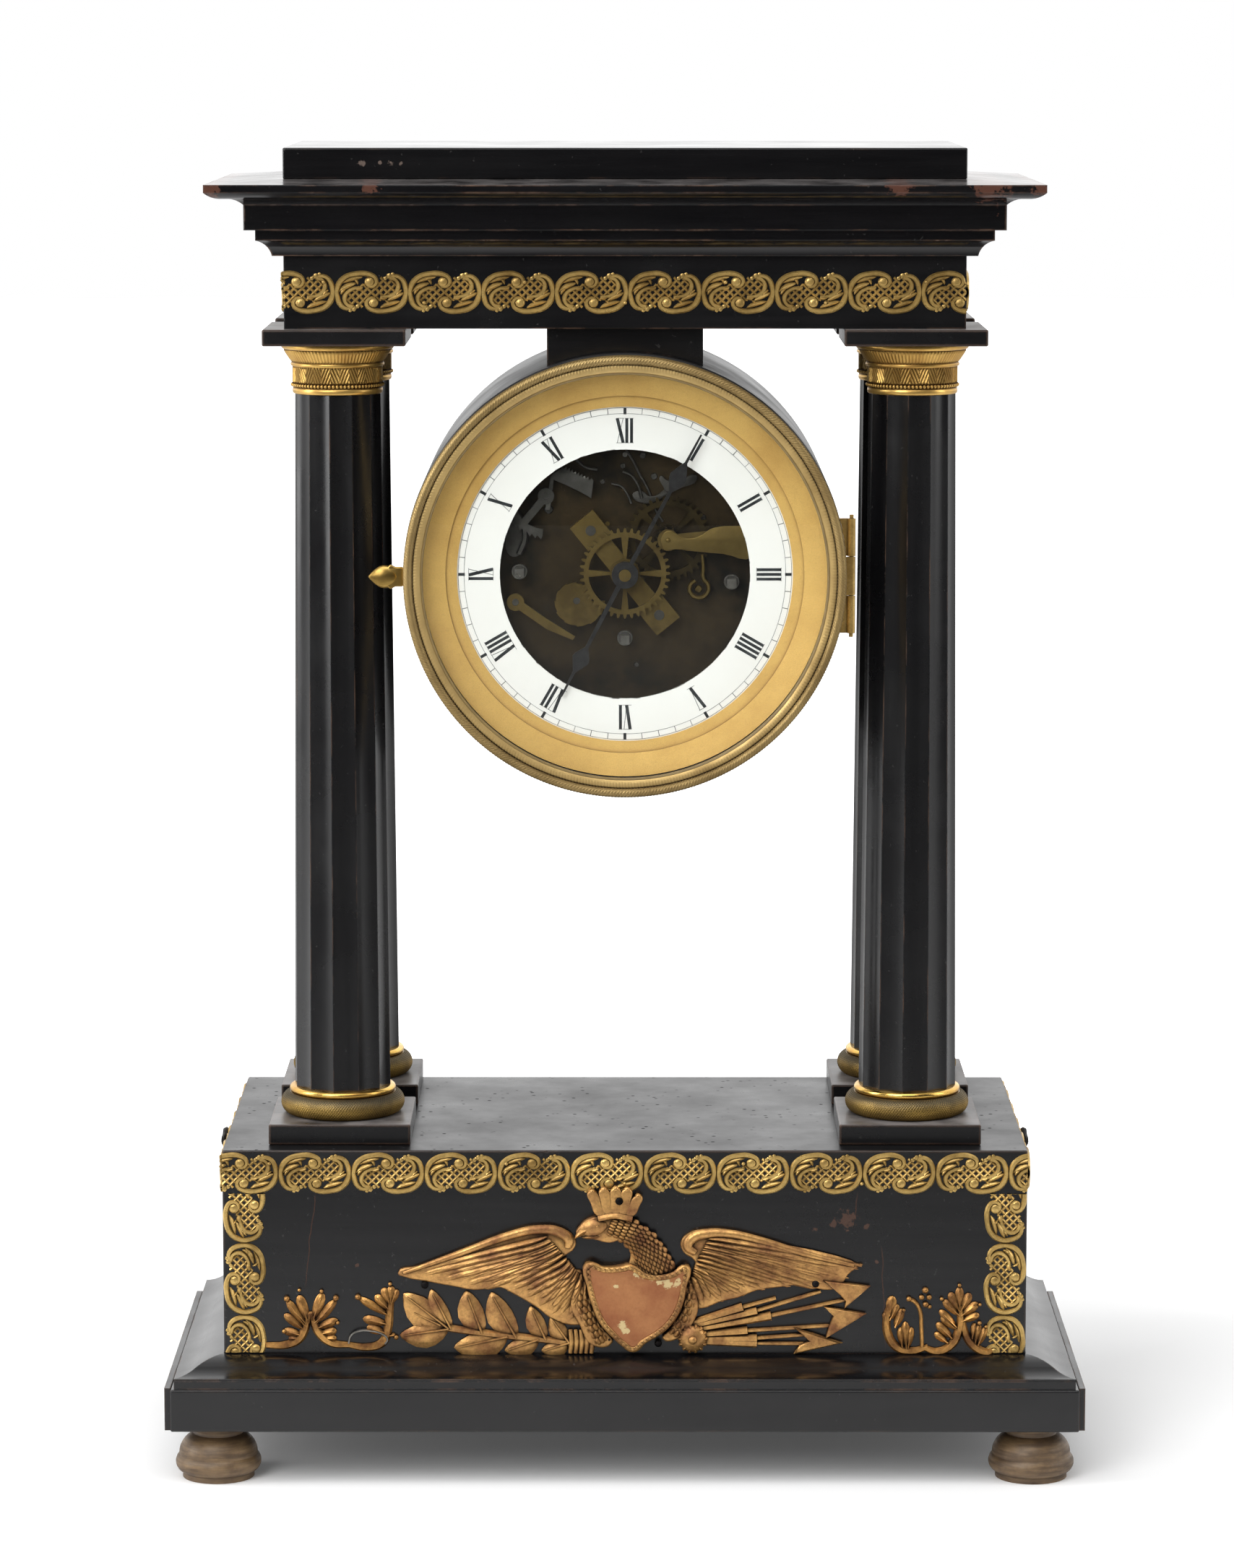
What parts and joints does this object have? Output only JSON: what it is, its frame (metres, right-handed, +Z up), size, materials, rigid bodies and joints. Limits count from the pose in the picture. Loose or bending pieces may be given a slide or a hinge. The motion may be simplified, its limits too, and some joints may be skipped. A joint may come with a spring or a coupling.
{
  "type": "portico mantel clock",
  "caption": "Portico mantel clock: fluted columns on a box base carry a corniced top and a hanging drum clock with a hinged glazed bezel, open dial centre and gilt mounts.",
  "frame": {"origin": "centre of the bounding box at the feet's underside", "axes": "+Z up, -Y towards the dial's viewer, +X to the viewer's right"},
  "size_m": [0.3628, 0.168, 0.5237],
  "materials": {
    "ebonised_wood": "polished black stain, worn brown at the edges",
    "facing_wood": "worn dark brown",
    "gilt_brass": "gilt, aged",
    "movement_brass": "brushed",
    "enamel": "glossy white enamel",
    "glass": "clear, domed",
    "blued_steel": "blued",
    "steel": "polished",
    "iron": "black paint"
  },
  "bodies": {
    "case": {"acanthus_mounts": "gilt_brass", "attic_block": "ebonised_wood", "base_front_board": "ebonised_wood", "base_ogee": "ebonised_wood", "base_pierced_strips": "gilt_brass", "base_side_and_back_boards": "ebonised_wood", "base_top_board": "ebonised_wood", "bun_feet": "ebonised_wood", "chapter_ring": "enamel", "column_abaci": "ebonised_wood", "column_capitals": "gilt_brass", "column_plinths": "ebonised_wood", "column_shafts": "ebonised_wood", "column_toruses": "gilt_brass", "cornice_moulding": "ebonised_wood", "cornice_top_board": "ebonised_wood", "dial_mat_ring": "gilt_brass", "drum_hinge": "gilt_brass", "drum_shell": "ebonised_wood", "eagle_mount": "gilt_brass", "frieze_boards": "ebonised_wood", "frieze_pierced_strips": "gilt_brass", "gong_block": "iron", "gong_wires": "blued_steel", "hanger_block": "ebonised_wood", "movement_back_plate": "movement_brass", "movement_cocks": "movement_brass", "movement_front_plate": "movement_brass", "movement_pillars": "movement_brass", "movement_screws": "steel", "movement_studs": "steel", "plinth_side_facings": "facing_wood", "plinth_slab": "ebonised_wood"},
    "door": {"bezel_ring": "gilt_brass", "bezel_glass": "glass", "glass_retaining_ring": "gilt_brass", "bezel_latch_tab": "gilt_brass", "bezel_hinge_knuckle": "gilt_brass"},
    "minute_work": {"centre_arbor": "movement_brass", "minute_hand": "blued_steel"},
    "hour_work": {"hour_wheel": "movement_brass", "hour_hand": "blued_steel"},
    "change_work": {"change_wheel": "movement_brass"},
    "third_work": {"third_wheel": "movement_brass"},
    "escape_work": {"escape_wheel": "movement_brass"},
    "pallets": {"pallet_anchor": "steel"},
    "pendulum": {"pendulum": "movement_brass"},
    "going_spring_barrel": {"going_barrel": "movement_brass"},
    "going_winder": {"going_winding_arbor": "steel"},
    "quarter_spring_barrel": {"quarter_strike_barrel": "movement_brass"},
    "quarter_winder": {"quarter_winding_arbor": "steel"},
    "hour_spring_barrel": {"hour_strike_barrel": "movement_brass"},
    "hour_winder": {"hour_winding_arbor": "steel"},
    "snail": {"hour_snail": "steel"},
    "rack": {"strike_rack": "steel"},
    "lifter": {"lifting_lever": "movement_brass"},
    "hour_striker": {"hour_hammer": "steel"},
    "quarter_striker": {"quarter_hammer": "steel"},
    "back_cover": {"drum_back_cover": "ebonised_wood"}
  },
  "joints": [
    {"name": "door_swing", "type": "hinge", "parent": "case", "child": "door", "pos_m": [0.0885, -0.0502, 0.3575], "axis": [0, 0, 1], "range_deg": [0, 100]},
    {"name": "minute_turn", "type": "hinge", "parent": "case", "child": "minute_work", "pos_m": [0, -0.03, 0.3575], "axis": [0, 1, 0], "continuous": true},
    {"name": "hour_turn", "type": "hinge", "parent": "case", "child": "hour_work", "pos_m": [0, -0.03, 0.3575], "axis": [0, 1, 0], "continuous": true},
    {"name": "change_turn", "type": "hinge", "parent": "case", "child": "change_work", "pos_m": [0.01694, -0.03, 0.37074], "axis": [0, 1, 0], "continuous": true},
    {"name": "third_turn", "type": "hinge", "parent": "case", "child": "third_work", "pos_m": [-0.00684, -0.03, 0.37629], "axis": [0, 1, 0], "continuous": true},
    {"name": "escape_turn", "type": "hinge", "parent": "case", "child": "escape_work", "pos_m": [-0.0005, -0.03, 0.38989], "axis": [0, 1, 0], "continuous": true},
    {"name": "pallet_rock", "type": "hinge", "parent": "case", "child": "pallets", "pos_m": [0, -0.03, 0.4035], "axis": [0, 1, 0], "range_deg": [-5, 5]},
    {"name": "pendulum_swing", "type": "hinge", "parent": "case", "child": "pendulum", "pos_m": [0, -0.03, 0.4035], "axis": [0, 1, 0], "range_deg": [-4, 4]},
    {"name": "going_barrel_turn", "type": "hinge", "parent": "case", "child": "going_spring_barrel", "pos_m": [0, -0.03, 0.3312], "axis": [0, 1, 0], "continuous": true},
    {"name": "going_wind", "type": "hinge", "parent": "case", "child": "going_winder", "pos_m": [0, -0.03, 0.3312], "axis": [0, 1, 0], "continuous": true},
    {"name": "quarter_barrel_turn", "type": "hinge", "parent": "case", "child": "quarter_spring_barrel", "pos_m": [-0.0415, -0.03, 0.3575], "axis": [0, 1, 0], "continuous": true},
    {"name": "quarter_wind", "type": "hinge", "parent": "case", "child": "quarter_winder", "pos_m": [-0.0415, -0.03, 0.3575], "axis": [0, 1, 0], "continuous": true},
    {"name": "hour_barrel_turn", "type": "hinge", "parent": "case", "child": "hour_spring_barrel", "pos_m": [0.042, -0.03, 0.3535], "axis": [0, 1, 0], "continuous": true},
    {"name": "hour_wind", "type": "hinge", "parent": "case", "child": "hour_winder", "pos_m": [0.042, -0.03, 0.3535], "axis": [0, 1, 0], "continuous": true},
    {"name": "snail_turn", "type": "hinge", "parent": "case", "child": "snail", "pos_m": [-0.019, -0.03, 0.3463], "axis": [0, 1, 0], "continuous": true},
    {"name": "rack_fall", "type": "hinge", "parent": "case", "child": "rack", "pos_m": [-0.031, -0.03, 0.3875], "axis": [0, 1, 0], "range_deg": [0, 10]},
    {"name": "lifter_lift", "type": "hinge", "parent": "case", "child": "lifter", "pos_m": [-0.043, -0.03, 0.346], "axis": [0, 1, 0], "range_deg": [-8, 0]},
    {"name": "hour_hammer_swing", "type": "hinge", "parent": "case", "child": "hour_striker", "pos_m": [0.026, -0.03, 0.3135], "axis": [0, 1, 0], "range_deg": [0, 12], "stiffness_Nm_per_rad": 0.004, "springref_deg": -17.19},
    {"name": "quarter_hammer_swing", "type": "hinge", "parent": "case", "child": "quarter_striker", "pos_m": [0.026, -0.03, 0.3135], "axis": [0, 1, 0], "range_deg": [0, 12], "stiffness_Nm_per_rad": 0.004, "springref_deg": -17.19},
    {"name": "cover_pull", "type": "slide", "parent": "case", "child": "back_cover", "axis": [0, 1, 0], "range_m": [0, 0.03]}
  ],
  "couplings": [
    {"joint": "hour_turn", "follows": "minute_turn", "ratio": 0.083333},
    {"joint": "change_turn", "follows": "minute_turn", "ratio": -0.33333},
    {"joint": "going_barrel_turn", "follows": "minute_turn", "ratio": -0.11111},
    {"joint": "third_turn", "follows": "minute_turn", "ratio": -12},
    {"joint": "escape_turn", "follows": "minute_turn", "ratio": 144},
    {"joint": "snail_turn", "follows": "minute_turn", "ratio": -0.083333},
    {"joint": "pallet_rock", "follows": "pendulum_swing", "ratio": 1}
  ]
}
